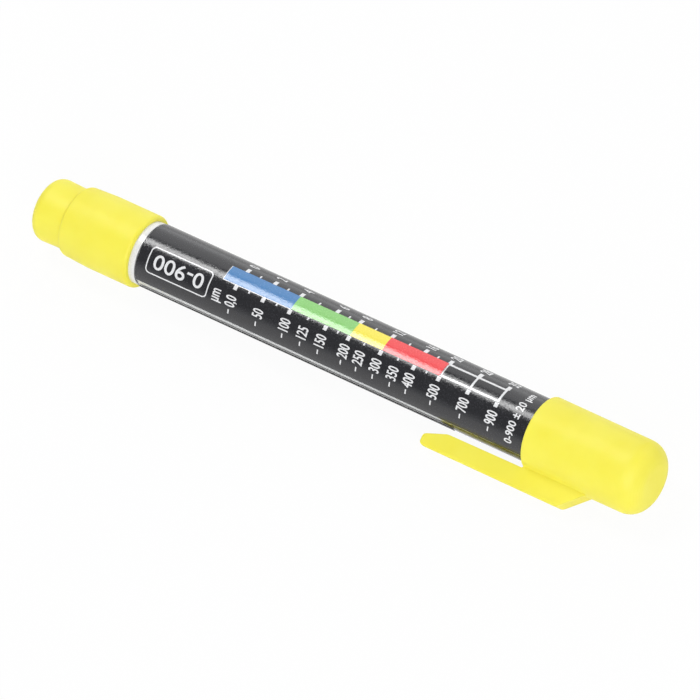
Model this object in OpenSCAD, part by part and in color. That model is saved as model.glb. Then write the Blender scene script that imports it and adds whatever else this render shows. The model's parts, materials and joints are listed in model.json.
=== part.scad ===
// Pen-form coating thickness gauge with a printed barrel, a spring-loaded pull handle and a clip cap.
// The axis runs along X. The origin is the centre of the end cap's flat end face.
// The pen lies on its two caps and on the corner of its clip, with +Z up.

/* [Barrel] */
// Outer diameter of the clear barrel
barrel_d = 12.9; // [12.2:0.1:16]
// Wall of the clear barrel
barrel_wall = 0.75; // [0.6:0.05:1]
// Length of the clear barrel
barrel_l = 122; // [100:1:150]
// Length of the collar on the barrel's rear mouth
collar_l = 3; // [2:0.1:5]
// Chamfer of the collar's outer edge
collar_lead = 0.2; // [0.1:0.05:0.25]
// Length of the collar's guide bush inside the barrel
bush_l = 15.2; // [8:0.1:25]

/* [Caps] */
// Wall of both caps round the barrel
cap_wall = 1; // [0.8:0.05:1.5]
// Rounding of the end cap's open rim
sleeve_round = 0.7; // [0.1:0.05:0.75]
// Rounding of the clip cap's open rim
rim_round = 0.35; // [0.1:0.05:0.5]

/* [End cap] */
// Length of the narrow knob up to the shoulder
knob_l = 7.5; // [6:0.1:12]
// Length of the sleeve from the shoulder to its rim
sleeve_l = 16.6; // [14:0.1:30]
// How much smaller the knob's radius is than the sleeve's
knob_step = 1.05; // [0.9:0.05:2]
// How much the knob narrows in radius towards the shoulder
knob_taper = 0.15; // [0:0.05:0.3]
// Rounding of the knob's end
knob_round = 2.1; // [0.5:0.05:3]
// Rounding of the shoulder between knob and sleeve
shoulder_round = 0.85; // [0.3:0.05:1]
// How much smaller the sleeve's radius is at the shoulder
sleeve_crown = 0.28; // [0.05:0.01:0.4]
// Distance from the shoulder to the sleeve's full size
crown_l = 6; // [3:0.5:10]
// Thickness of the knob's flat end
end_wall = 1.6; // [1:0.1:3]
// Thickness of the floor that the collar stops on
socket_floor = 1.6; // [1:0.1:3]

/* [Clip cap] */
// Length of the clip cap from its rim to its flat end
clip_cap_l = 25.6; // [23.5:0.1:40]
// How far the clip cap reaches over the barrel
cap_grip = 17.65; // [10:0.05:20]
// Draft of the clip cap's radius from its rim to its end
cap_draft = 0.05; // [0:0.01:0.1]
// Rounding of the clip cap's closed end
cap_round = 4.05; // [1:0.05:5]
// Thickness of the clip cap's closed end
cap_end_wall = 2; // [1:0.1:3]
// Rounding inside the clip cap's closed end
room_round = 2; // [0.5:0.1:3]
// Width of the ledge inside the clip cap that stops on the barrel
cap_ledge = 0.4; // [0.3:0.05:0.5]

/* [Clip] */
// Reach of the clip past the cap's rim
clip_l = 21.95; // [12:0.05:32]
// Width of the clip
clip_w = 4; // [3.8:0.1:6]
// Height of the clip's outer edge above the cap
clip_h = 4.15; // [2.5:0.05:6]
// Height of the clip's inner edge above the cap, at the bend
clip_lift = 0.15; // [0.1:0.05:1]
// Length of the clip's nose up to the bend in its inner edge
nose_l = 5; // [2:0.1:8]
// Slope of the nose's inner edge
nose_angle = 19.5; // [10:0.5:30]
// Rounding of the bend in the inner edge
bend_round = 2.5; // [1:0.5:8]
// Length of the clip's root on the cap, at the outer edge
root_l = 9.6; // [4:0.1:12]
// Length of the slope that ends the root
root_slope = 4.6; // [1:0.1:6]
// Rounding of the root's outer corner
root_round = 0.8; // [0.2:0.1:2]
// Rounding of the nose's two corners, seen from outside
nose_corner = 0.5; // [0.3:0.1:1.9]
// Rounding of the clip's long outer edges
clip_edge = 0.6; // [0.2:0.05:1]

/* [Label] */
// Thickness of the label film
label_t = 0.1; // [0.05:0.01:0.3]
// Distance of the label's edge from the end cap's rim
label_inset = 1.7; // [0.5:0.1:4]
// Angle between the clip and the label's nearer long edge
label_edge = 32; // [20:1:60]
// How far the label reaches round the barrel, as an angle
label_sweep = 175; // [120:1:240]

/* [Slide] */
// Outer diameter of the slide tube
slide_d = 9.2; // [8.4:0.1:10]
// Wall of the slide tube
slide_wall = 0.8; // [0.6:0.05:1.2]
// Length of the stop ring, whose rear edge shows the reading
stop_ring_l = 3; // [2:0.1:6]
// Distance of the stop ring from the clip cap's rim
ring_inset = 4.5; // [2:0.1:10]

/* [Magnet] */
// Diameter of the magnet
magnet_d = 7; // [4:0.1:7.4]
// Length of the magnet
magnet_l = 3.5; // [2:0.1:5]
// How far the magnet stands out of its holder
magnet_out = 0.5; // [0.2:0.05:1]
// Rounding of the magnet's working edge
magnet_round = 0.4; // [0.1:0.05:0.8]
// Length of the holder's plug inside the barrel
plug_l = 8; // [6:0.1:12]
// Thickness of the holder's flange
flange_l = 1.6; // [1:0.1:3]

/* [Spring] */
// Outer diameter of the spring
spring_d = 5; // [4:0.1:6]
// Diameter of the spring's wire
wire_d = 0.5; // [0.3:0.05:0.6]
// Number of the spring's turns
spring_turns = 44; // [20:1:60]
// Closed turns at each end of the spring
closed_turns = 2; // [1:1:4]
// Length of the two bosses that hold the spring's closed ends
boss_l = 7; // [4:0.1:9]

/* [Fits] */
// Radial gap of glued and pressed joints
glue_gap = 0.02; // [0.01:0.01:0.05]
// Radial clearance of the sliding pieces
slide_gap = 0.05; // [0.02:0.01:0.1]
// Gap between faces that stop on each other
stop_gap = 0.05; // [0:0.01:0.2]
// Gap between the spring and its bosses
boss_gap = 0.12; // [0.05:0.01:0.2]
// Radial gap between the holder's flange and the clip cap
flange_gap = 0.15; // [0.05:0.01:0.2]

/* [Hidden] */
$fn = 96;

// Number of steps of a rounded stretch in an outline
arc_steps = 10;
// Steps of a turn of the spring and sides of its wire
turn_steps = 10;
wire_sides = 6;
// Pitch of the closed turns, in wire diameters
closed_pitch = 1.1;
// Fillet in the crease under the shoulder
shoulder_fillet = 0.15;
// How far a cut runs past a face
past = 1;

barrel_r = barrel_d / 2;
barrel_bore_r = barrel_r - barrel_wall;
cap_bore_r = barrel_r + slide_gap;
cap_r = cap_bore_r + cap_wall;

end_cap_l = knob_l + sleeve_l;
socket_x = knob_l + socket_floor;
collar_x = socket_x + stop_gap;
barrel_x = collar_x + collar_l;
barrel_end_x = barrel_x + barrel_l;
bush_end_x = barrel_x + bush_l;
bush_r = barrel_bore_r - glue_gap;
cap_rim_x = barrel_end_x - cap_grip;
cap_end_x = cap_rim_x + clip_cap_l;

knob_r = cap_r - knob_step;
waist_r = knob_r - knob_taper;
shoulder_r = cap_r - sleeve_crown;
shoulder_arc = min(shoulder_round, shoulder_r - waist_r - shoulder_fillet);

slide_r = slide_d / 2;
slide_bore_r = slide_r - slide_wall;
slide_end_x = cap_rim_x - ring_inset;
stop_ring_r = barrel_bore_r - slide_gap;
collar_bore_r = slide_r + slide_gap;
label_x = end_cap_l + label_inset;
label_end_x = cap_rim_x - stop_gap;
label_r = barrel_r + glue_gap + label_t;
room_r = cap_bore_r - cap_ledge;

plug_x = barrel_end_x - plug_l;
flange_x = barrel_end_x + flange_l;
flange_r = room_r - flange_gap;
magnet_x = flange_x + magnet_out;
magnet_r = magnet_d / 2;

spring_r = spring_d / 2;
coil_r = spring_r - wire_d / 2;
boss_r = spring_r - wire_d - boss_gap;
spring_x0 = end_wall + stop_gap + wire_d / 2;
spring_x1 = plug_x - stop_gap - wire_d / 2;

clip_r = cap_r + clip_h;
clip_foot_r = cap_bore_r + cap_wall / 2;
bend_r = cap_r + clip_lift;
nose_x = cap_rim_x - clip_l;
bend_x = nose_x + nose_l;
root_x = cap_rim_x + root_l;
foot_x = root_x + root_slope;
// Radius of the nose's round end, which meets the outer edge and the sloping inner edge smoothly
nose_room = clip_r - bend_r - nose_l * tan(nose_angle);
nose_round = nose_room / (1 / cos(nose_angle) + 1 - tan(nose_angle));
// Slopes of the inner edge behind the bend and of the root's end
inner_angle = atan2(clip_lift, clip_l - nose_l);
root_angle = atan2(clip_h + cap_draft, root_slope);
// Turn about the axis at which the clip's rounded corner lies level with the caps' lowest line
corner_y = clip_w / 2 - clip_edge;
corner_z = clip_r - clip_edge;
rest_angle = asin((cap_r - clip_edge) / norm([corner_y, corner_z])) - atan2(corner_y, corner_z);
// Turns that bring the clip from upright, and the label from its first edge, to their places
clip_turn = 90 + rest_angle;
label_turn = clip_turn + 180 - label_edge - label_sweep;

// Points of a round stretch about a centre
function arc(centre, r, from, to) =
    [for (i = [0 : arc_steps])
        let (a = from + (to - from) * i / arc_steps)
        centre + r * [cos(a), sin(a)]];

// Solid turned about the X axis from an outline of [radius, x] points
module turned(outline) {
    rotate([0, 90, 0])
        rotate_extrude()
            polygon(outline);
}

// Tube about the X axis between two places
module tube(r_out, r_in, x0, x1) {
    turned([[r_in, x0], [r_out, x0], [r_out, x1], [r_in, x1]]);
}

// Clear tube that carries the label, the collar on its rear mouth and the holder in its front mouth
module barrel() {
    color([0.85, 0.9, 0.92, 0.35])
        tube(barrel_r, barrel_bore_r, barrel_x, barrel_end_x);
}

// Stepped yellow pull handle with a pocket for the slide tube and a boss for the spring
module end_cap() {
    pocket_r = slide_r + glue_gap;
    color([0.98, 0.92, 0.12])
        turned(concat(
            [[0, 0]],
            arc([knob_r - knob_round, knob_round], knob_round, -90, 0),
            arc([waist_r + shoulder_fillet, knob_l - shoulder_fillet], shoulder_fillet, 180, 90),
            arc([shoulder_r - shoulder_arc, knob_l + shoulder_arc], shoulder_arc, -90, 0),
            [[cap_r, knob_l + crown_l]],
            arc([cap_r - sleeve_round, end_cap_l - sleeve_round], sleeve_round, 0, 90),
            [[cap_bore_r, end_cap_l], [cap_bore_r, socket_x], [pocket_r, socket_x],
             [pocket_r, end_wall], [boss_r, end_wall], [boss_r, end_wall + boss_l],
             [0, end_wall + boss_l]]
        ));
}

// White collar on the barrel's rear mouth, whose bush guides the slide tube and stops the stop ring
module mouth_collar() {
    color([0.93, 0.93, 0.92])
        turned([[collar_bore_r, collar_x], [barrel_r - collar_lead, collar_x],
                [barrel_r, collar_x + collar_lead], [barrel_r, barrel_x], [bush_r, barrel_x],
                [bush_r, bush_end_x], [collar_bore_r, bush_end_x]]);
}

// Place of the wire along the axis after a number of turns, with closed turns at both ends
function coil_x(turn) =
    let (closed = closed_turns * wire_d * closed_pitch)
    let (open_turns = spring_turns - 2 * closed_turns)
    let (pitch = (spring_x1 - spring_x0 - 2 * closed) / open_turns)
    turn < closed_turns ? spring_x0 + closed * turn / closed_turns :
    turn > spring_turns - closed_turns ? spring_x1 - closed * (spring_turns - turn) / closed_turns :
    spring_x0 + closed + pitch * (turn - closed_turns);

// Long tension spring from the end cap's boss to the holder's boss
module spring() {
    rings = spring_turns * turn_steps;
    points = [for (i = [0 : rings])
        let (turn = i / turn_steps)
        for (j = [0 : wire_sides - 1])
            let (r = coil_r + wire_d / 2 * cos(360 * j / wire_sides))
            let (x = coil_x(turn) + wire_d / 2 * sin(360 * j / wire_sides))
            [x, r * cos(360 * turn), r * sin(360 * turn)]];
    sides = [for (i = [0 : rings - 1])
        for (j = [0 : wire_sides - 1])
            let (a = i * wire_sides + j)
            let (b = i * wire_sides + (j + 1) % wire_sides)
            each [[a, b, b + wire_sides], [a, b + wire_sides, a + wire_sides]]];
    first = [for (j = [0 : wire_sides - 1]) wire_sides - 1 - j];
    last = [for (j = [0 : wire_sides - 1]) rings * wire_sides + j];
    color([0.72, 0.73, 0.75])
        polyhedron(points, concat(sides, [first, last]), convexity = 10);
}

// White tube that is fixed in the handle and slides in the barrel, with the spring inside it
module slide_tube() {
    color([0.93, 0.93, 0.92])
        tube(slide_r, slide_bore_r, end_wall + glue_gap, slide_end_x);
}

// Dark ring on the slide tube's front end that shows the reading and stops on the collar's bush
module stop_ring() {
    color([0.12, 0.12, 0.13])
        tube(stop_ring_r, slide_r + glue_gap, slide_end_x - stop_ring_l, slide_end_x);
}

// Black printed film round half of the barrel, which leaves the other half clear as a window
module scale_label() {
    color([0.1, 0.1, 0.11])
        rotate([label_turn, 0, 0])
            rotate([0, 90, 0])
                rotate_extrude(angle = label_sweep)
                    polygon([[barrel_r + glue_gap, label_x], [label_r, label_x],
                             [label_r, label_end_x], [barrel_r + glue_gap, label_end_x]]);
}

// Turned plug in the barrel's front mouth, with the spring's boss behind and the magnet in front
module magnet_holder() {
    pocket_r = magnet_r + glue_gap;
    pocket_x = magnet_x - magnet_l;
    plug_r = barrel_bore_r - glue_gap;
    color([0.75, 0.76, 0.78])
        turned([[0, plug_x - boss_l], [boss_r, plug_x - boss_l], [boss_r, plug_x], [plug_r, plug_x],
                [plug_r, barrel_end_x], [flange_r, barrel_end_x], [flange_r, flange_x],
                [pocket_r, flange_x], [pocket_r, pocket_x], [0, pocket_x]]);
}

// Disc magnet with a rounded working edge
module magnet() {
    color([0.62, 0.63, 0.65])
        turned(concat(
            [[0, magnet_x - magnet_l], [magnet_r, magnet_x - magnet_l]],
            arc([magnet_r - magnet_round, magnet_x - magnet_round], magnet_round, 0, 90),
            [[0, magnet_x]]
        ));
}

// Points of a rounded bend of the clip's inner edge, from a steep slope to a flatter one
function bend_curve(corner, r, steep, flat) =
    let (reach = r * tan((steep - flat) / 2))
    let (start = corner + reach * [-cos(steep), sin(steep)])
    arc(start + r * [sin(steep), cos(steep)], r, 270 - steep, 270 - flat);

// Side view of the clip as [x, height above the axis], nose to the left
function clip_side() = concat(
    arc([nose_x + nose_round, clip_r - nose_round], nose_round, 90, 270 - nose_angle),
    bend_curve([bend_x, bend_r], bend_round, nose_angle, inner_angle),
    [[cap_rim_x, cap_r], [cap_rim_x + rim_round, clip_foot_r], [foot_x, clip_foot_r],
     [foot_x, cap_r - cap_draft]],
    arc([root_x - root_round * tan(root_angle / 2), clip_r - root_round], root_round,
        90 - root_angle, 90));

// Clip blade pointing up, with round long edges and a round nose
module clip_blade() {
    half = clip_w / 2;
    intersection() {
        rotate([90, 0, 0])
            linear_extrude(clip_w + past, center = true)
                polygon(clip_side());
        rotate([90, 0, 90])
            translate([0, 0, nose_x - past])
                linear_extrude(foot_x - nose_x + 2 * past)
                    polygon(concat(
                        [[-half, 0], [half, 0]],
                        arc([half - clip_edge, clip_r - clip_edge], clip_edge, 0, 90),
                        arc([clip_edge - half, clip_r - clip_edge], clip_edge, 90, 180)
                    ));
        linear_extrude(clip_r + past)
            polygon(concat(
                [[foot_x + past, -half], [foot_x + past, half]],
                arc([nose_x + nose_corner, half - nose_corner], nose_corner, 90, 180),
                arc([nose_x + nose_corner, nose_corner - half], nose_corner, 180, 270)
            ));
    }
}

// Yellow cap with its pocket clip, moulded in one piece
module clip_cap() {
    end_r = cap_r - cap_draft;
    floor_x = cap_end_x - cap_end_wall;
    color([0.98, 0.92, 0.12])
        difference() {
            union() {
                turned(concat(
                    [[0, cap_rim_x]],
                    arc([cap_r - rim_round, cap_rim_x + rim_round], rim_round, -90, 0),
                    arc([end_r - cap_round, cap_end_x - cap_round], cap_round, 0, 90),
                    [[0, cap_end_x]]
                ));
                rotate([clip_turn, 0, 0])
                    clip_blade();
            }
            turned(concat(
                [[0, cap_rim_x - past], [cap_bore_r, cap_rim_x - past],
                 [cap_bore_r, barrel_end_x + stop_gap], [room_r, barrel_end_x + stop_gap]],
                arc([room_r - room_round, floor_x - room_round], room_round, 0, 90),
                [[0, floor_x]]
            ));
        }
}

barrel();
end_cap();
mouth_collar();
spring();
slide_tube();
stop_ring();
scale_label();
magnet_holder();
magnet();
clip_cap();
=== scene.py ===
# %% [markdown]
# A pen-form coating thickness gauge
# The pen lies on a pale table: a clear barrel with a black printed scale round half of it, and two yellow
# caps. The left cap is a pull handle on a spring, and the right one comes off the magnet at the tip.
# The solid pieces come from the CAD frame and keep their places. This lesson gives each of them a
# finish, prints the scale on the label, winds the spring, and sets the light and the camera.

# %% Load the frame
import json
import math

import bmesh
import bpy
from mathutils import Matrix, Vector
from mathutils.geometry import delaunay_2d_cdt, intersect_point_tri_2d


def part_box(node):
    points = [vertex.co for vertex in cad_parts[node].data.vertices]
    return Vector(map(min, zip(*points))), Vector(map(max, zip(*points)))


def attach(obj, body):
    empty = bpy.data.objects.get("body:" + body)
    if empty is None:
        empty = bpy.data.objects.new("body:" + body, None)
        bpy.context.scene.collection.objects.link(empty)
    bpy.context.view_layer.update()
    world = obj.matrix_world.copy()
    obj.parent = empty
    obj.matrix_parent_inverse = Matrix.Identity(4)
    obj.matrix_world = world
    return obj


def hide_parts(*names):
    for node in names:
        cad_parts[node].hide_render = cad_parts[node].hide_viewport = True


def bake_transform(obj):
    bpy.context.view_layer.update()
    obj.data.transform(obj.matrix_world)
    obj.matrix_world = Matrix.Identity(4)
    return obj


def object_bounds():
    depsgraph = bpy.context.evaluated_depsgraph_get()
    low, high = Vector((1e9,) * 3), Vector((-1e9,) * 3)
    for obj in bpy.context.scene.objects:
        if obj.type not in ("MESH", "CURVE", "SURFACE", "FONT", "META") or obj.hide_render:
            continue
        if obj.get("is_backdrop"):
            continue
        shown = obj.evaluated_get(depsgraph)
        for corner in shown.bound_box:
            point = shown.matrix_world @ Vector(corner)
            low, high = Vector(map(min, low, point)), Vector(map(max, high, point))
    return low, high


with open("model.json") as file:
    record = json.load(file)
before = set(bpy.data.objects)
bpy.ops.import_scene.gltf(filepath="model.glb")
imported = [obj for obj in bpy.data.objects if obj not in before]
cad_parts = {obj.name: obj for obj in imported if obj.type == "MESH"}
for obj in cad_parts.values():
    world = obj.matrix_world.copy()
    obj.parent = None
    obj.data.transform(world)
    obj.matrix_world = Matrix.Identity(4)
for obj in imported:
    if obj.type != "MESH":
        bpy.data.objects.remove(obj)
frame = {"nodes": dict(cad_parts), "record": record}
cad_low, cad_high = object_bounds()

scene = bpy.context.scene
nodes = frame["nodes"]
MM = 0.001
print("CAD box in mm:", [round(v / MM, 2) for v in (*cad_low, *cad_high)])

# %% [markdown]
# Directions round the pen
# The pen's axis is X. The clip's direction comes from its mount in the record. The side of the label
# that faces the reader stands a quarter turn from the clip, so every place on the label is given by
# its distance along X and by an angle that grows from the reader's side towards the clip.

# %% Directions round the axis
mounts = {m["name"]: Vector(m["pos_m"]) for m in frame["record"]["mounts"]}
AXIS = Vector((1, 0, 0))
clip_way = Vector((0, *mounts["pocket_clip"][1:])).normalized()
reader_way = clip_way.cross(AXIS).normalized()


def outward(degrees):
    """Direction out of the axis at an angle from the reader's side towards the clip."""
    angle = math.radians(degrees)
    return reader_way * math.cos(angle) + clip_way * math.sin(angle)


print("clip points to", [round(v, 3) for v in clip_way], "reader's side", [round(v, 3) for v in reader_way])


# %% [markdown]
# Colours and nodes
# Colours are written as sRGB hex values, as a designer would note them, and turned to the linear
# values that a shader needs. One function adds a node, sets its inputs and makes its links.

# %% Colour and node helpers
def linear(hex_code):
    """Linear RGBA of an sRGB hex colour."""
    parts = [int(hex_code[i:i + 2], 16) / 255 for i in (1, 3, 5)]
    return (*[p / 12.92 if p <= 0.04045 else ((p + 0.055) / 1.055) ** 2.4 for p in parts], 1)


def add(tree, kind, inputs=None, **settings):
    """Adds a node, sets its properties, and sets or links its inputs by name or number."""
    made = tree.nodes.new(kind)
    for name, value in settings.items():
        setattr(made, name, value)
    for name, value in (inputs or {}).items():
        if isinstance(value, bpy.types.NodeSocket):
            tree.links.new(value, made.inputs[name])
        else:
            made.inputs[name].default_value = value
    return made


print("mid grey #808080 is", round(linear("#808080")[0], 3), "in linear light")

# %% [markdown]
# A finish that all pieces share
# Each material has a colour that drifts slowly between two near values, so that it never looks painted by a
# computer, and a fine grain that changes the gloss and lifts the skin. Both are noise textures, whose values
# lie mostly near the middle, so each is spread from a part of its range. The grain can be stretched along or
# across the pen, for drawn tubes and turned metal.

# %% Finish helper
NOISE_DETAIL = 3
PATCH_SPREAD = (0.35, 0.65)
GRAIN_SPREAD = (0.3, 0.7)


def finish(name, colours, patch_mm, grain_mm, gloss, depth_mm, stretch=(1, 1, 1), **sockets):
    """A material: two hex colours in patches, and a grain that gives a roughness range and a relief."""
    material = bpy.data.materials.new(name)
    material.use_nodes = True
    tree = material.node_tree
    surface = tree.nodes["Principled BSDF"]
    place = add(tree, "ShaderNodeTexCoord").outputs["Object"]
    patches = add(tree, "ShaderNodeTexNoise", {"Vector": place, "Scale": 1 / (patch_mm * MM),
                                               "Detail": NOISE_DETAIL})
    ramp = add(tree, "ShaderNodeValToRGB", {"Fac": patches.outputs["Fac"]})
    for element, code, share in zip(ramp.color_ramp.elements, colours, PATCH_SPREAD):
        element.color = linear(code)
        element.position = share
    drawn = add(tree, "ShaderNodeMapping", {"Vector": place, "Scale": stretch})
    grain = add(tree, "ShaderNodeTexNoise", {"Vector": drawn.outputs["Vector"], "Scale": 1 / (grain_mm * MM),
                                             "Detail": NOISE_DETAIL})
    rough = add(tree, "ShaderNodeMapRange", {"Value": grain.outputs["Fac"],
                                             "From Min": GRAIN_SPREAD[0], "From Max": GRAIN_SPREAD[1],
                                             "To Min": gloss[0], "To Max": gloss[1]})
    skin = add(tree, "ShaderNodeBump", {"Height": grain.outputs["Fac"], "Distance": depth_mm * MM})
    tree.links.new(ramp.outputs["Color"], surface.inputs["Base Color"])
    tree.links.new(rough.outputs["Result"], surface.inputs["Roughness"])
    tree.links.new(skin.outputs["Normal"], surface.inputs["Normal"])
    for socket, value in sockets.items():
        surface.inputs[socket.replace("_", " ")].default_value = value
    return material


# %% [markdown]
# Yellow caps: moulded polypropylene
# Both caps are injection moulded in a lemon yellow. The mould was lightly spark eroded, so the skin is
# satin and its highlights are wide and soft. The resin lets a little light in, which keeps the shaded
# side warm: a little subsurface scattering does that. The grain of the skin is about 0.25 mm.

# %% Yellow polypropylene
yellow = finish("Moulded polypropylene, lemon yellow", ("#F8EC48", "#FBF054"), patch_mm=7, grain_mm=0.25,
                gloss=(0.42, 0.56), depth_mm=0.006, IOR=1.49, Subsurface_Weight=0.2,
                Subsurface_Radius=(1.0, 0.8, 0.2), Subsurface_Scale=0.6 * MM)
print("made", yellow.name)

# %% [markdown]
# Clear barrel: extruded acrylic
# The barrel is a drawn acrylic tube with a polished skin. Its outside and its bore are both real faces, so
# light bends at each of them, and the strip beside the label glows and darkens as on the real tube. Drawing
# leaves very faint lines along the tube, so the grain is stretched along X.

# %% Clear acrylic
clear = finish("Extruded acrylic, clear", ("#FAFCFC", "#FCFDFD"), patch_mm=10, grain_mm=0.8,
               gloss=(0.0, 0.03), depth_mm=0.0005, stretch=(0.02, 1, 1), IOR=1.49, Transmission_Weight=1.0)
print("made", clear.name)

# %% [markdown]
# Label and inks: printed polyester film
# The scale is printed on a thin black film that is glued round half of the barrel, under a clear polyester
# laminate. The laminate is glossy but grained like fine leather, about 0.3 mm from crest to crest, which
# breaks the edges of the long highlight into a sparkle. The inks lie under the same laminate, so they share
# its gloss, and each ink is its own finish on its own thin piece.

# %% Film and ink finishes
GRAIN_MM, GRAIN_DEPTH_MM = 0.3, 0.024
LAMINATE_GLOSS = (0.04, 0.31)
POLYESTER_IOR = 1.64


def laminated(name, *colours):
    """A printed colour under the laminate."""
    return finish(name, colours, patch_mm=GRAIN_MM, grain_mm=GRAIN_MM, gloss=LAMINATE_GLOSS,
                  depth_mm=GRAIN_DEPTH_MM, IOR=POLYESTER_IOR)


film = laminated("Polyester film, printed black", "#141418", "#222227")
ink_white = laminated("Screen ink, white", "#E4E4E6", "#EEEEEF")
ink_colours = {
    "blue": laminated("Screen ink, blue", "#4680BA", "#4F89C2"),
    "green": laminated("Screen ink, green", "#8ACE72", "#94D67C"),
    "yellow": laminated("Screen ink, yellow", "#F8E84E", "#FCEE58"),
    "red": laminated("Screen ink, red", "#F24448", "#F85054"),
}
print("made", film.name, "and", 1 + len(ink_colours), "inks")

# %% [markdown]
# Inner pieces: acetal, styrene, nylon, steel, aluminium and nickel
# The collar with its guide bush is white moulded acetal, and the slide tube is white extruded styrene. The
# ring on the slide tube is black nylon, so that it shows through the barrel as an index. The spring is drawn
# steel wire, the holder is turned aluminium with fine rings left by the tool, and the magnet has a bright
# nickel plating. The metals keep the shader's own IOR, and the turning rings are a grain stretched round X.

# %% Finishes of the inner pieces
AROUND = (1, 0.02, 0.02)
acetal = finish("Moulded acetal, white", ("#EAEAE8", "#F1F1EF"), patch_mm=3, grain_mm=0.4,
                gloss=(0.3, 0.4), depth_mm=0.004, IOR=1.48)
styrene = finish("Extruded polystyrene, white", ("#E7E7E4", "#EBEBE8"), patch_mm=4, grain_mm=0.5,
                 gloss=(0.3, 0.42), depth_mm=0.003, stretch=(0.05, 1, 1), IOR=1.59)
nylon = finish("Moulded nylon, black", ("#17181A", "#212225"), patch_mm=2, grain_mm=0.2,
               gloss=(0.4, 0.55), depth_mm=0.008, IOR=1.53)
steel = finish("Spring steel, drawn", ("#A9ABAE", "#BCBEC1"), patch_mm=1.5, grain_mm=0.3,
               gloss=(0.22, 0.36), depth_mm=0.003, Metallic=1.0)
aluminium = finish("Aluminium, turned", ("#C6C8CA", "#D5D7D9"), patch_mm=1.5, grain_mm=0.15,
                   gloss=(0.24, 0.4), depth_mm=0.004, stretch=AROUND, Metallic=1.0)
nickel = finish("Nickel plating, bright", ("#BDBAB4", "#CBC8C2"), patch_mm=1.5, grain_mm=0.4,
                gloss=(0.1, 0.24), depth_mm=0.002, stretch=AROUND, Metallic=1.0)
print("made", [m.name for m in (acetal, styrene, nylon, steel, aluminium, nickel)])

# %% [markdown]
# Dress the CAD pieces
# Each solid keeps its own mesh and gets the finish of the real piece. Only the spring is wound again
# further down, because its CAD solid has flat sides.

# %% Give each node its finish
finishes = {
    "barrel": clear, "end_cap": yellow, "clip_cap": yellow, "mouth_collar": acetal,
    "slide_tube": styrene, "stop_ring": nylon, "scale_label": film,
    "magnet_holder": aluminium, "magnet": nickel, "spring": steel,
}
for name, material in finishes.items():
    mesh = nodes[name].data
    mesh.materials.clear()
    mesh.materials.append(material)
print("dressed", len(finishes), "nodes")


# %% [markdown]
# Printing on a round label
# Ink has no image here: each field, line and number is a flat outline in millimetres, with u round the
# label and v along the pen. Flat print is easy to place, and all of it is wrapped round the label in one go
# when it is complete. The label is measured first, because its radius turns an angle into a length.

# %% Measure the label
label_low, label_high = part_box("scale_label")
middle_mm = (label_low.x + label_high.x) / 2 / MM
label_r_mm = (label_high.y - label_low.y) / 2 / MM
print("label from", round(label_low.x / MM, 2), "to", round(label_high.x / MM, 2), "mm, radius", label_r_mm)


def arc_mm(degrees):
    """Length round the label of an angle from the reader's side."""
    return math.radians(degrees) * label_r_mm


# %% [markdown]
# Fields and frames
# Ticks, dashes and colour fields are plain rectangles. A frame is a closed line with round corners: two rows
# of points, one inside the other, with a strip of faces between them.

# %% Flat fields and frames
CORNER_STEPS = 6


def flat_field(flat, u0, u1, v0, v1):
    """A filled rectangle."""
    flat.faces.new([flat.verts.new((u, v, 0)) for u, v in ((u0, v0), (u1, v0), (u1, v1), (u0, v1))])


def rounded(u0, u1, v0, v1, radius):
    """Points round a rectangle with round corners."""
    centres = ((u1 - radius, v1 - radius, 0), (u0 + radius, v1 - radius, 90),
               (u0 + radius, v0 + radius, 180), (u1 - radius, v0 + radius, 270))
    for cu, cv, start in centres:
        for i in range(CORNER_STEPS + 1):
            a = math.radians(start + 90 * i / CORNER_STEPS)
            yield cu + radius * math.cos(a), cv + radius * math.sin(a)


def flat_outline(flat, u0, u1, v0, v1, radius, line):
    """A closed line round a rectangle with round corners."""
    outer = [flat.verts.new((u, v, 0)) for u, v in rounded(u0, u1, v0, v1, radius)]
    inside = rounded(u0 + line, u1 - line, v0 + line, v1 - line, radius - line)
    inner = [flat.verts.new((u, v, 0)) for u, v in inside]
    count = len(outer)
    for i in range(count):
        j = (i + 1) % count
        flat.faces.new((outer[i], outer[j], inner[j], inner[i]))


# %% [markdown]
# One sheet of ink
# A swelled outline can fold over itself in a sharp inner corner, which a layer of ink can't do. So all the
# outlines are joined first. A Delaunay triangulation cuts them where they cross and says which old triangles
# each new one came from. A new triangle is kept if its middle lies in one of those: a very thin old triangle
# could otherwise ink the open middle of a nought.

# %% Join the outlines
CLOSE_MM = 0.0005
INSIDE_ONLY = 1


def one_layer(flat):
    """Joins outlines that overlap or fold over, so that the print is one clean sheet that faces up."""
    bmesh.ops.triangulate(flat, faces=flat.faces[:])
    flat.normal_update()
    flat.verts.index_update()
    places = [v.co.xy for v in flat.verts]
    fields = []
    for face in flat.faces:
        ids = [v.index for v in face.verts]
        fields.append(ids if face.normal.z > 0 else ids[::-1])
    spots, _, parts, _, _, sources = delaunay_2d_cdt(places, [], fields, INSIDE_ONLY, CLOSE_MM)
    flat.clear()
    inked = []
    for ids, source in zip(parts, sources):
        middle = sum((spots[i] for i in ids), Vector((0, 0))) / len(ids)
        if any(intersect_point_tri_2d(middle, *[places[i] for i in fields[k]]) for k in source):
            inked.append(ids)
    made = {i: flat.verts.new((*spots[i], 0)) for i in sorted({i for ids in inked for i in ids})}
    for ids in inked:
        flat.faces.new([made[i] for i in ids])


# %% [markdown]
# Wrap the sheet round the label
# The sheet is cut into narrow strips so that it can bend, wrapped round the label, and given the thickness
# of an ink layer, with walls along its open edges. The wrap keeps every width true on the film. The film
# was glued on by hand, so the print runs a hair askew: it drifts by a third of a millimetre over the scale.

# %% Wrap flat print
INK_MM = 0.02
STRIP_MM = 0.25
ASKEW = -0.0057


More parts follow.
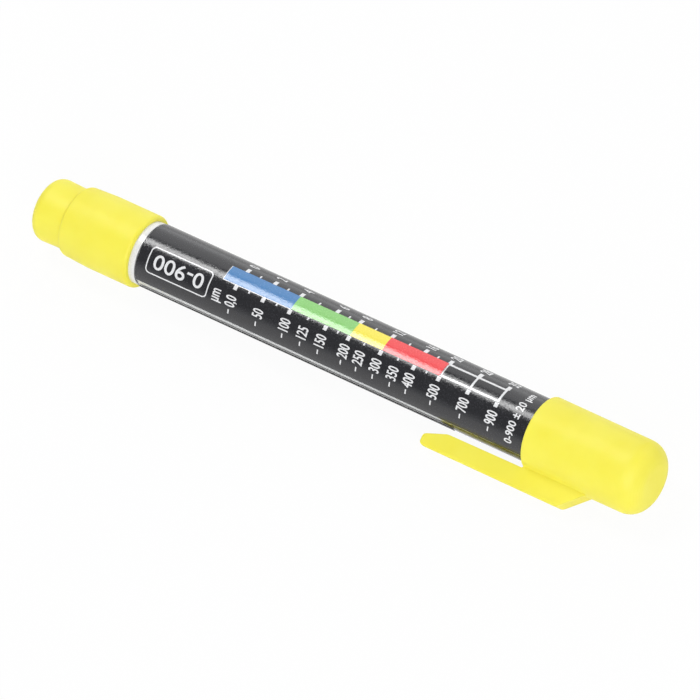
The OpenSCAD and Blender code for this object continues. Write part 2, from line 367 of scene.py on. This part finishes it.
def cut_strips(flat):
    """Cuts flat print along the pen into strips of triangles, after setting it askew."""
    for v in flat.verts:
        v.co.x += ASKEW * (v.co.y - middle_mm)
    spans = [v.co.x for v in flat.verts]
    for k in range(math.ceil(min(spans) / STRIP_MM), math.floor(max(spans) / STRIP_MM) + 1):
        geometry = flat.verts[:] + flat.edges[:] + flat.faces[:]
        bmesh.ops.bisect_plane(flat, geom=geometry, plane_co=(k * STRIP_MM, 0, 0), plane_no=(1, 0, 0))
    bmesh.ops.triangulate(flat, faces=flat.faces[:])
    flat.verts.index_update()
    flat.verts.ensure_lookup_table()


def wrap(flat, name, material, layer=(label_r_mm - INK_MM / 2, label_r_mm + INK_MM)):
    """Turns flat print into a thin piece between two radii that rides on the barrel."""
    one_layer(flat)
    cut_strips(flat)
    points, faces, count = [], [], len(flat.verts)
    for radius_mm in reversed(layer):
        for v in flat.verts:
            way = outward(math.degrees(v.co.x / label_r_mm))
            points.append(AXIS * (v.co.y * MM) + way * (radius_mm * MM))
    for face in flat.faces:
        ids = [v.index for v in face.verts]
        faces += [ids, [i + count for i in reversed(ids)]]
        for a, b in zip(ids, ids[1:] + ids[:1]):
            edge = flat.edges.get((flat.verts[a], flat.verts[b]))
            if len(edge.link_faces) == 1:
                faces.append([b, a, a + count, b + count])
    mesh = bpy.data.meshes.new(name)
    mesh.from_pydata(points, [], faces)
    mesh.materials.append(material)
    piece = bpy.data.objects.new(name, mesh)
    scene.collection.objects.link(piece)
    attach(piece, "barrel")
    flat.free()
    print("printed", name, "with", len(mesh.polygons), "faces")


# %% [markdown]
# Numbers
# The numbers are set in Blender's own font. Instrument lettering is narrow and bold, so the outline of the
# words is first squeezed to a width and a height for the font's em square, and then swelled by an offset:
# done in this order, upright and level strokes get the same weight. A number is turned so that it reads
# across the pen, from the clip's side up.

# %% Set a number in flat print
BOLD_MM = 0.04
CAP_EM = 0.69
CURVE_STEPS = 4


def flat_text(flat, words, u, v, em_mm, across=True):
    """Words round a middle, with the font's em squeezed to this width and height, across or along the pen."""
    text = bpy.data.curves.new("words", "FONT")
    text.body = words
    setter = bpy.data.objects.new("words", text)
    scene.collection.objects.link(setter)
    depsgraph = bpy.context.evaluated_depsgraph_get()
    outline = setter.evaluated_get(depsgraph).to_curve(depsgraph, apply_modifiers=False).copy()
    knots = [p for s in outline.splines for p in s.bezier_points]
    ends = [p.co.x for p in knots]
    middle = Vector(((min(ends) + max(ends)) / 2, CAP_EM / 2, 0))
    for p in knots:
        p.handle_left_type = p.handle_right_type = "FREE"
    for p in knots:
        for kind in ("co", "handle_left", "handle_right"):
            setattr(p, kind, (getattr(p, kind) - middle) * Vector((*em_mm, 0)))
    outline.offset = BOLD_MM
    outline.resolution_u = CURVE_STEPS
    holder = bpy.data.objects.new("outline", outline)
    scene.collection.objects.link(holder)
    depsgraph = bpy.context.evaluated_depsgraph_get()
    mesh = bpy.data.meshes.new_from_object(holder.evaluated_get(depsgraph))
    made = []
    for s, t, _ in (p.co for p in mesh.vertices):
        place = (u - s, v - t, 0) if across else (u + t, v - s, 0)
        made.append(flat.verts.new(place))
    for face in mesh.polygons:
        flat.faces.new([made[i] for i in face.vertices])
    for extra in (setter, holder):
        bpy.data.objects.remove(extra)
    for curve in (text, outline):
        bpy.data.curves.remove(curve)
    bpy.data.meshes.remove(mesh)


# %% [markdown]
# The scale
# The marks are not evenly spaced, because a magnet's pull falls off quickly with distance. Each mark is
# given as its distance in millimetres from the label's edge. A colour band lies beside the marks: thin
# paint is blue, then green, yellow and red as the coat grows thicker, and the last stretch is open.

# %% Marks of the scale
EDGE = label_low.x / MM
MARKS = {0: 22.05, 25: 25.08, 50: 28.48, 75: 31.53, 100: 34.68, 125: 38.88, 150: 43.04, 175: 45.82,
         200: 48.42, 250: 51.97, 300: 55.84, 350: 59.8, 400: 63.51, 450: 66.38, 500: 69.25, 700: 76.02,
         900: 82.5}
NUMBERED = (0, 50, 100, 125, 150, 200, 250, 300, 350, 400, 500, 700, 900)
MAJOR = (0, 50, 100, 150, 200, 300, 400, 500, 700, 900)
OPEN = (500, 700, 900)
BAND = (arc_mm(-44.1), arc_mm(-14.4))
mark = {reading: EDGE + distance for reading, distance in MARKS.items()}
print("scale from", round(mark[0], 2), "to", round(mark[900], 2), "mm")

# %% Colour band
BAND_START = EDGE + 18.85
band_ends = {"blue": 100, "green": 200, "yellow": 300, "red": 500}
start = BAND_START
for colour, last in band_ends.items():
    flat = bmesh.new()
    flat_field(flat, *BAND, start, mark[last])
    wrap(flat, "print_" + colour, ink_colours[colour])
    start = mark[last]

# %% [markdown]
# White print
# Ticks stand on both edges of the colour band, wide ones at the main readings and fine ones between. The
# microns stand on the clip's side, each with a dash that points to the window, and the same readings in
# mils stand on the far side. All of it gathers in one flat sheet, because it is printed in one pass.

# %% Ticks
TICK_W, TICK_L = 0.83, 1.1
FINE_W, FINE_L = 0.34, 0.65
HAIRLINE = 0.14
flat = bmesh.new()
for reading, v in mark.items():
    wide, long = (TICK_W, TICK_L) if reading in MAJOR else (FINE_W, FINE_L)
    flat_field(flat, BAND[1] + HAIRLINE, BAND[1] + long, v - wide / 2, v + wide / 2)
    flat_field(flat, BAND[0] - long, BAND[0], v - wide / 2, v + wide / 2)
print("drew two rows of", len(mark), "ticks")

# %% Numbers and dashes
DASH_W = 0.28
NUMBER_EM = (1.81, 3.29)
MICRONS_PER_MIL = 25.4
MICRONS_AT, SHORT_AT, MILS_AT = arc_mm(14.3), arc_mm(15.5), arc_mm(-67)
DASH_FROM, DASH_TO = arc_mm(30.5), arc_mm(39)
for reading in NUMBERED:
    words = "0,0" if reading == 0 else str(reading)
    flat_text(flat, words, MICRONS_AT if reading >= 100 else SHORT_AT, mark[reading], NUMBER_EM)
    flat_field(flat, DASH_FROM, DASH_TO, mark[reading] - DASH_W / 2, mark[reading] + DASH_W / 2)
for reading in MAJOR:
    flat_text(flat, str(round(reading / MICRONS_PER_MIL)), MILS_AT, mark[reading], NUMBER_EM)
print("set", len(NUMBERED), "numbers in microns and", len(MAJOR), "in mils")

# %% [markdown]
# Lines, frame and words
# Thin lines close the open stretch of the band and outline the start of the blue field. The unit stands where
# the numbers start, the range stands in a frame beside the handle, and the range with its tolerance ends the
# scale. Then the sheet is complete and can be wrapped.

# %% Lines of the band
LINE = 0.45
for reading in OPEN:
    flat_field(flat, BAND[0], BAND[1], mark[reading] - LINE / 2, mark[reading] + LINE / 2)
for u in (BAND[0] + LINE / 2, BAND[1] - LINE / 2):
    for first, last in zip(OPEN, OPEN[1:]):
        flat_field(flat, u - LINE / 2, u + LINE / 2, mark[first] + LINE / 2, mark[last] - LINE / 2)
flat_field(flat, BAND[0], BAND[1] + HAIRLINE, BAND_START - HAIRLINE, BAND_START)
flat_field(flat, BAND[1], BAND[1] + HAIRLINE, BAND_START, mark[band_ends["blue"]])
print("drew", len(OPEN), "lines across the open stretch")

# %% Frame and words
FRAME = (arc_mm(-17.9), arc_mm(30.2), EDGE + 2.2, EDGE + 16.65)
FRAME_CORNER, FRAME_LINE = 1.0, 0.25
UNIT = {"u": arc_mm(15.8), "v": EDGE + 18.3, "em_mm": (2.05, 3.5)}
RANGE = {"u": arc_mm(6.3), "v": EDGE + 9.45, "em_mm": (5.1, 4.2)}
TOLERANCE = {"u": arc_mm(-8), "v": EDGE + 87.2, "em_mm": (1.98, 2.4)}
flat_text(flat, "µm", **UNIT)
flat_outline(flat, *FRAME, FRAME_CORNER, FRAME_LINE)
flat_text(flat, "0-900", across=False, **RANGE)
flat_text(flat, "0-900 ± 20 µm", **TOLERANCE)
wrap(flat, "print_white", ink_white)

# %% [markdown]
# Painted shade under the window
# The bare strip beside the label is the window. On its far side, under the pen, a black strip of the same
# film
# is painted in as shade: it stands for the shadowed table right under the pen. From the reader's side it
# shows only through the barrel's wall, which bends the light round: it is the dark line between the two
# bright ones below the label. It ends a little way in under the clip.

# %% Black strip of painted shade
# Painted shade: a black film strip that stands for the shadowed table seen through the barrel
SHADE_STRIP = (arc_mm(80), arc_mm(92))
UNDER_CLIP = 5
barrel_low, barrel_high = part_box("barrel")
barrel_r_mm = (barrel_high.y - barrel_low.y) / 2 / MM
clip_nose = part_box("clip_cap")[0].x / MM
flat = bmesh.new()
flat_field(flat, *SHADE_STRIP, EDGE, clip_nose + UNDER_CLIP)
wrap(flat, "painted_shade_strip", film, layer=(barrel_r_mm - INK_MM / 2, label_r_mm))

# %% [markdown]
# White band at the barrel's mouth
# Between the handle's rim and the label the barrel shows a pale ring. It is a band of white ink right round
# the tube, which hides the guide bush behind it and runs a little way in under the handle's rim.

# %% White band
BAND_UNDER_RIM, BARE = 0.6, 0.3
HALF_BAND = 179.8
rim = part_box("end_cap")[1].x / MM
flat = bmesh.new()
flat_field(flat, arc_mm(-HALF_BAND), arc_mm(HALF_BAND), rim - BAND_UNDER_RIM, EDGE - BARE)
wrap(flat, "mouth_band", ink_white, layer=(barrel_r_mm - INK_MM / 2, barrel_r_mm + INK_MM))

# %% [markdown]
# The spring
# A long tension spring runs inside the slide tube from the handle's boss to the magnet's holder. It is
# wound here as a round wire with the same turns as the CAD solid, fine enough for a close look. The turns
# at both ends lie close together, and those between share the rest of the length.

# %% Measure the spring
TURNS, CLOSED_TURNS, CLOSED_PITCH = 44, 2, 1.1
WIRE_R = 0.25 * MM
low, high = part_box("spring")
spring_x0, spring_x1 = low.x + WIRE_R, high.x - WIRE_R
coil_r = (high.y - low.y) / 2 - WIRE_R
closed = CLOSED_TURNS * 2 * WIRE_R * CLOSED_PITCH
pitch = (spring_x1 - spring_x0 - 2 * closed) / (TURNS - 2 * CLOSED_TURNS)


def coil_x(turn):
    """Place of the wire along the axis, with closed turns at both ends."""
    if turn < CLOSED_TURNS:
        return spring_x0 + closed * turn / CLOSED_TURNS
    if turn > TURNS - CLOSED_TURNS:
        return spring_x1 - closed * (TURNS - turn) / CLOSED_TURNS
    return spring_x0 + closed + pitch * (turn - CLOSED_TURNS)


print("open turns stand", round(pitch / MM, 2), "mm apart, coil radius", round(coil_r / MM, 2), "mm")

# %% [markdown]
# Wind the wire
# A ring of points is set round the wire at each step of each turn, faces join every ring to the next, and
# a cap closes each end.

# %% Wind the wire
STEPS, SIDES = 20, 8
rings = TURNS * STEPS
points, faces = [], []
for i in range(rings + 1):
    angle = 2 * math.pi * i / STEPS
    for j in range(SIDES):
        side = 2 * math.pi * j / SIDES
        r = coil_r + WIRE_R * math.cos(side)
        points.append((coil_x(i / STEPS) + WIRE_R * math.sin(side), r * math.cos(angle), r * math.sin(angle)))
for i in range(rings):
    for j in range(SIDES):
        a, b = i * SIDES + j, i * SIDES + (j + 1) % SIDES
        faces.append((a, a + SIDES, b + SIDES, b))
faces.append(tuple(range(SIDES)))
faces.append(tuple(reversed(range(rings * SIDES, (rings + 1) * SIDES))))
print("wound", TURNS, "turns,", len(faces), "faces")

# %% Hang the spring between handle and barrel
mesh = bpy.data.meshes.new("tension_spring")
mesh.from_pydata(points, [], faces)
mesh.shade_smooth()
mesh.materials.append(steel)
spring = bpy.data.objects.new("tension_spring", mesh)
scene.collection.objects.link(spring)
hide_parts("spring")
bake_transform(spring)
print("hung", spring.name, "from", round(spring_x0 / MM, 2), "to", round(spring_x1 / MM, 2), "mm")

# %% [markdown]
# Table
# The pen lies on a white table that runs on to the horizon. The table is lit like the pen, so that it keeps
# the soft shadow under it. To the camera it is mixed with a plain white glow, which leaves the shadow only
# just visible, and the glossy label mirrors the same white. The clear barrel sees less of the glow, so that
# it still shows the dark strip of table right under the pen.

# %% Table's finish
CAMERA_GLOW, MIRROR_GLOW, CLEAR_GLOW = 0.95, 0.95, 0.3


def white_table():
    """A matt white board with a share of plain white glow."""
    material = finish("Laminated board, matt white", ("#F2F2F2", "#F6F6F6"), patch_mm=60, grain_mm=2,
                      gloss=(0.85, 0.95), depth_mm=0.01, Specular_IOR_Level=0.0)
    tree = material.node_tree
    surface = tree.nodes["Principled BSDF"]
    path = add(tree, "ShaderNodeLightPath").outputs
    mirror = add(tree, "ShaderNodeMath", {0: path["Is Glossy Ray"], 1: path["Is Transmission Ray"]},
                 operation="SUBTRACT", use_clamp=True)
    share = 0.0
    for ray, glow in ((path["Is Camera Ray"], CAMERA_GLOW), (mirror.outputs[0], MIRROR_GLOW),
                      (path["Is Transmission Ray"], CLEAR_GLOW)):
        share = add(tree, "ShaderNodeMath", {0: ray, 1: glow, 2: share}, operation="MULTIPLY_ADD").outputs[0]
    white = add(tree, "ShaderNodeEmission", {"Color": linear("#FFFFFF"), "Strength": 1.0})
    mix = add(tree, "ShaderNodeMixShader", {0: share, 1: surface.outputs[0], 2: white.outputs[0]})
    tree.links.new(mix.outputs[0], tree.nodes["Material Output"].inputs["Surface"])
    return material


board = white_table()
print("made", board.name)

# %% Table top
TABLE_HALF = 3.0
table_z = cad_low.z
mesh = bpy.data.meshes.new("table")
corners = ((-1, -1), (1, -1), (1, 1), (-1, 1))
mesh.from_pydata([(x * TABLE_HALF, y * TABLE_HALF, table_z) for x, y in corners], [], [range(len(corners))])
mesh.materials.append(board)
table = bpy.data.objects.new("table", mesh)
scene.collection.objects.link(table)
table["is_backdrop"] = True
print("table at", round(table_z / MM, 2), "mm")

# %% [markdown]
# Camera
# The photograph was taken from far away with a long lens. The pen's axis leans towards the camera by the
# angle that its round rims show, and the clip is seen edge on. The camera is turned so that the pen runs
# down to the right, and placed so that the pen's middle falls where it does in the photograph.

# %% Camera
LEAN_SIN = 0.443
IMAGE_TURN = 24.6
FOCAL_PX, IMAGE_PX, SENSOR_MM = 10518, 700, 36
PX_PER_MM = 5.238
MIDDLE_MM = 69.7
MIDDLE_SHIFT = (1.80, -1.76)
lean_cos = math.sqrt(1 - LEAN_SIN ** 2)
turn = math.radians(IMAGE_TURN)
to_camera = AXIS * LEAN_SIN + reader_way * lean_cos
axis_seen = (AXIS - to_camera * LEAN_SIN) / lean_cos
right = axis_seen * math.cos(turn) - clip_way * math.sin(turn)
up = -axis_seen * math.sin(turn) - clip_way * math.cos(turn)
centre = AXIS * (MIDDLE_MM * MM) + right * (MIDDLE_SHIFT[0] * MM) + up * (MIDDLE_SHIFT[1] * MM)


def stand(thing, side, top, back, spot):
    """Places a lamp or camera, which looks along its own -Z, with given sides."""
    thing.matrix_world = Matrix((
        (side.x, top.x, back.x, spot.x),
        (side.y, top.y, back.y, spot.y),
        (side.z, top.z, back.z, spot.z),
        (0, 0, 0, 1),
    ))
    scene.collection.objects.link(thing)


lens = bpy.data.cameras.new("camera")
lens.sensor_width = SENSOR_MM
lens.lens = FOCAL_PX / IMAGE_PX * SENSOR_MM
camera = bpy.data.objects.new("camera", lens)
stand(camera, right, up, to_camera, centre + to_camera * (FOCAL_PX / PX_PER_MM * MM))
scene.camera = camera
print("camera looks down at", round(math.degrees(math.asin(to_camera.z)), 1), "degrees")


# %% [markdown]
# Light
# Seen from this camera, every part of the barrel mirrors the room on the handle's side. A softbox stands
# there, at the angle that puts its mirror image just above the middle of the barrel: that is the long
# highlight. A weaker panel beside it greys the film's far edge. Broad soft panels stand on the other side,
# where the barrel can't mirror them into the camera, and light the colours evenly.

# %% Softboxes
def softbox(name, way, distance, size, power):
    """A rectangular lamp that faces the pen's middle, with its first side along the pen."""
    lamp = bpy.data.lights.new(name, "AREA")
    lamp.shape = "RECTANGLE"
    lamp.size, lamp.size_y = size
    lamp.energy = power
    back = Vector(way).normalized()
    side = (AXIS - back * AXIS.dot(back)).normalized()
    spot = AXIS * (MIDDLE_MM * MM) + back * distance
    stand(bpy.data.objects.new(name, lamp), side, back.cross(side), back, spot)


GLINT_ANGLE = -17.9
glint = outward(GLINT_ANGLE)
strip_way = glint * (2 * glint.dot(to_camera)) - to_camera
LAMPS = {  # direction from the pen, distance in metres, sides in metres, power in watts
    "strip": (strip_way, 0.9, (0.3, 0.29), 2.5),
    "front_panel": ((0.6, -0.8, 0.62), 1.2, (1.0, 1.0), 8.0),
    "side_panel": ((0.5, 0.9, 0.7), 1.3, (0.9, 0.9), 3.4),
    "back_panel": ((-LEAN_SIN, 0.76, 0.48), 1.0, (0.5, 1.05), 1.7),
}
for name, lamp in LAMPS.items():
    softbox(name, *lamp)
print("hung", len(LAMPS), "softboxes, the strip towards", [round(v, 2) for v in strip_way])

# %% [markdown]
# Surroundings
# The room is pale at the horizon and dims with height, so that the black film stays dark between its grey
# edges. A map from the height of a direction to a strength is enough for that.

# %% Surroundings
SKY, HORIZON, HORIZON_TOP = 0.35, 1.0, 0.35
world = bpy.data.worlds.new("surroundings")
world.use_nodes = True
tree = world.node_tree
way = add(tree, "ShaderNodeTexCoord").outputs["Generated"]
height = add(tree, "ShaderNodeSeparateXYZ", {"Vector": way}).outputs["Z"]
room = add(tree, "ShaderNodeMapRange", {"Value": height, "From Min": 0.0, "From Max": HORIZON_TOP,
                                        "To Min": HORIZON, "To Max": SKY})
tree.nodes["Background"].inputs["Color"].default_value = linear("#F2F4F6")
tree.links.new(room.outputs["Result"], tree.nodes["Background"].inputs["Strength"])
scene.world = world
scene.view_settings.view_transform = "Standard"
print("room strength from", HORIZON, "at the horizon to", SKY, "above")

# %% [markdown]
# Size of the dressed pen
# The dressed pen should stay inside the CAD pen's box. Both boxes are printed: the CAD one at the start, this
# one here.

# %% Write the boxes
low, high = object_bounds()
print("visual box in mm:", [round(v / MM, 2) for v in (*low, *high)])
